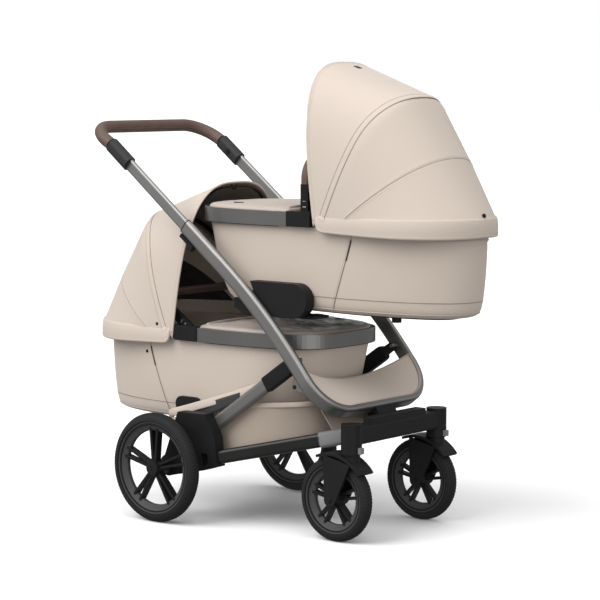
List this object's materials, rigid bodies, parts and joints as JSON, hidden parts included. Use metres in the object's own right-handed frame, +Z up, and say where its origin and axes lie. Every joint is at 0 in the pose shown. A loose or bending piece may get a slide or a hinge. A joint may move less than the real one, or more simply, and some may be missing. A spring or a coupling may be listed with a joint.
{
  "type": "twin pram",
  "caption": "Folding pram chassis with swivel front wheels, a sliding handle and hooded carrycots facing each other, one set above the other.",
  "frame": {"origin": "on the floor, under the middle of the pram", "axes": "+X forward, away from the handle; +Y to the left; +Z up"},
  "size_m": [1.216, 0.6, 1.174],
  "materials": {
    "black_plastic": "fine-grained matt moulding",
    "grey_plastic": "satin moulding",
    "grey_tube": "satin titanium grey",
    "silver_tube": "satin anodised",
    "rim_band": "satin titanium grey",
    "wheel": "satin moulding",
    "tyre": "matt rubber",
    "beige_fabric": "fine woven",
    "taupe_fabric": "smooth lining",
    "mattress_fabric": "quilted jersey",
    "leather": "grained imitation leather"
  },
  "bodies": {
    "chassis": {"rear_axle": "black_plastic", "rear_bracket_right": "black_plastic", "rear_bracket_left": "black_plastic", "lower_tube_right": "grey_tube", "lower_tube_left": "grey_tube", "front_beam": "black_plastic", "basket": "beige_fabric", "basket_front": "beige_fabric", "lower_adaptors": "black_plastic"},
    "main_frame": {"main_tube": "grey_tube", "tube_bushes": "black_plastic", "bow_hinge": "black_plastic", "apron": "beige_fabric"},
    "handle": {"handle_tube": "silver_tube", "handle_grip": "leather", "handle_collars": "black_plastic"},
    "upper_cot": {"upper_tub": "beige_fabric", "upper_rim": "rim_band", "upper_joints": "black_plastic", "upper_base": "black_plastic", "upper_mattress": "mattress_fabric", "upper_cover": "beige_fabric", "upper_hood": "beige_fabric", "upper_adaptors": "black_plastic"},
    "lower_cot": {"lower_tub": "beige_fabric", "lower_rim": "rim_band", "lower_joints": "black_plastic", "lower_base": "black_plastic", "lower_mattress": "mattress_fabric", "lower_cover": "taupe_fabric", "lower_hood": "beige_fabric"},
    "brake_pedal": {"brake_pedal": "black_plastic"},
    "upper_carry_handle": {"upper_carry_arms": "black_plastic", "upper_carry_grip": "leather"},
    "upper_front_bow": {"upper_hood_front_bow": "black_plastic"},
    "upper_middle_bow": {"upper_hood_middle_bow": "black_plastic"},
    "lower_carry_handle": {"lower_carry_arms": "black_plastic", "lower_carry_grip": "leather"},
    "lower_front_bow": {"lower_hood_front_bow": "black_plastic"},
    "lower_middle_bow": {"lower_hood_middle_bow": "black_plastic"},
    "button_right": {"button_right": "black_plastic"},
    "latch_right": {"latch_right": "black_plastic"},
    "leg_right": {"leg_right": "silver_tube", "leg_block_right": "black_plastic"},
    "fork_right": {"fork_right": "black_plastic"},
    "swivel_lock_right": {"swivel_lock_right": "grey_plastic"},
    "front_wheel_right": {"front_wheel_right": "wheel", "front_tyre_right": "tyre"},
    "rear_wheel_right": {"rear_wheel_right": "wheel", "rear_tyre_right": "tyre"},
    "button_left": {"button_left": "black_plastic"},
    "latch_left": {"latch_left": "black_plastic"},
    "leg_left": {"leg_left": "silver_tube", "leg_block_left": "black_plastic"},
    "fork_left": {"fork_left": "black_plastic"},
    "swivel_lock_left": {"swivel_lock_left": "grey_plastic"},
    "front_wheel_left": {"front_wheel_left": "wheel", "front_tyre_left": "tyre"},
    "rear_wheel_left": {"rear_wheel_left": "wheel", "rear_tyre_left": "tyre"}
  },
  "joints": [
    {"name": "frame_fold", "type": "hinge", "parent": "chassis", "child": "main_frame", "pos_m": [0.31036, 0, 0.2807], "axis": [0, -1, 0], "range_deg": [0, 35], "deforming": ["apron", "basket_front"]},
    {"name": "handle_length", "type": "slide", "parent": "main_frame", "child": "handle", "axis": [-0.788, 0, 0.6157], "range_m": [-0.115, 0.02]},
    {"name": "upper_cot_lift", "type": "slide", "parent": "chassis", "child": "upper_cot", "axis": [0.7071, 0, 0.7071], "range_m": [0, 0.3]},
    {"name": "lower_cot_lift", "type": "slide", "parent": "chassis", "child": "lower_cot", "axis": [0, 0, 1], "range_m": [0, 0.025]},
    {"name": "brake_press", "type": "hinge", "parent": "chassis", "child": "brake_pedal", "pos_m": [-0.242, 0, 0.149], "axis": [0, -1, 0], "range_deg": [0, 20]},
    {"name": "leg_fold_right", "type": "hinge", "parent": "main_frame", "child": "leg_right", "pos_m": [0.1876, -0.194, 0.44183], "axis": [0, 1, 0], "range_deg": [0, 82]},
    {"name": "button_press_right", "type": "slide", "parent": "handle", "child": "button_right", "axis": [0, -1, 0], "range_m": [0, 0.0025], "stiffness_N_per_m": 400, "springref_m": -0.001},
    {"name": "latch_pull_right", "type": "slide", "parent": "main_frame", "child": "latch_right", "axis": [-0.788, 0, 0.6157], "range_m": [0, 0.012], "stiffness_N_per_m": 300, "springref_m": -0.004},
    {"name": "caster_swivel_right", "type": "hinge", "parent": "chassis", "child": "fork_right", "pos_m": [0.34, -0.1765, 0.25], "axis": [0, 0, 1], "continuous": true},
    {"name": "swivel_lock_lift_right", "type": "slide", "parent": "chassis", "child": "swivel_lock_right", "axis": [0, 0, 1], "range_m": [0, 0.008]},
    {"name": "front_roll_right", "type": "hinge", "parent": "fork_right", "child": "front_wheel_right", "pos_m": [0.294, -0.1765, 0.106], "axis": [0, 1, 0], "continuous": true},
    {"name": "rear_roll_right", "type": "hinge", "parent": "chassis", "child": "rear_wheel_right", "pos_m": [-0.214, -0.2805, 0.141], "axis": [0, 1, 0], "continuous": true},
    {"name": "leg_fold_left", "type": "hinge", "parent": "main_frame", "child": "leg_left", "pos_m": [0.1876, 0.194, 0.44183], "axis": [0, 1, 0], "range_deg": [0, 82]},
    {"name": "button_press_left", "type": "slide", "parent": "handle", "child": "button_left", "axis": [0, 1, 0], "range_m": [0, 0.0025], "stiffness_N_per_m": 400, "springref_m": -0.001},
    {"name": "latch_pull_left", "type": "slide", "parent": "main_frame", "child": "latch_left", "axis": [-0.788, 0, 0.6157], "range_m": [0, 0.012], "stiffness_N_per_m": 300, "springref_m": -0.004},
    {"name": "caster_swivel_left", "type": "hinge", "parent": "chassis", "child": "fork_left", "pos_m": [0.34, 0.1765, 0.25], "axis": [0, 0, 1], "continuous": true},
    {"name": "swivel_lock_lift_left", "type": "slide", "parent": "chassis", "child": "swivel_lock_left", "axis": [0, 0, 1], "range_m": [0, 0.008]},
    {"name": "front_roll_left", "type": "hinge", "parent": "fork_left", "child": "front_wheel_left", "pos_m": [0.294, 0.1765, 0.106], "axis": [0, 1, 0], "continuous": true},
    {"name": "rear_roll_left", "type": "hinge", "parent": "chassis", "child": "rear_wheel_left", "pos_m": [-0.214, 0.2805, 0.141], "axis": [0, 1, 0], "continuous": true},
    {"name": "upper_carry_swing", "type": "hinge", "parent": "upper_cot", "child": "upper_carry_handle", "pos_m": [0.19, 0, 0.797], "axis": [0, 1, 0], "range_deg": [-50, 60]},
    {"name": "upper_hood_fold", "type": "hinge", "parent": "upper_cot", "child": "upper_front_bow", "pos_m": [0.24, 0, 0.79], "axis": [0, 1, 0], "range_deg": [0, 60], "deforming": ["upper_hood"]},
    {"name": "upper_hood_follow", "type": "hinge", "parent": "upper_cot", "child": "upper_middle_bow", "pos_m": [0.24, 0, 0.79], "axis": [0, 1, 0], "range_deg": [0, 28]},
    {"name": "lower_carry_swing", "type": "hinge", "parent": "lower_cot", "child": "lower_carry_handle", "pos_m": [-0.19, 0, 0.488], "axis": [0, 1, 0], "range_deg": [-5, 50]},
    {"name": "lower_hood_fold", "type": "hinge", "parent": "lower_cot", "child": "lower_front_bow", "pos_m": [-0.24, 0, 0.481], "axis": [0, -1, 0], "range_deg": [0, 60], "deforming": ["lower_hood"]},
    {"name": "lower_hood_follow", "type": "hinge", "parent": "lower_cot", "child": "lower_middle_bow", "pos_m": [-0.24, 0, 0.481], "axis": [0, -1, 0], "range_deg": [0, 28]}
  ],
  "couplings": [
    {"joint": "leg_fold_right", "follows": "frame_fold", "ratio": 2.3426},
    {"joint": "leg_fold_left", "follows": "frame_fold", "ratio": 2.3426},
    {"joint": "upper_cot_lift", "follows": "frame_fold", "m_per_rad": 0.49},
    {"joint": "upper_hood_follow", "follows": "upper_hood_fold", "ratio": 0.45},
    {"joint": "lower_hood_follow", "follows": "lower_hood_fold", "ratio": 0.45}
  ]
}
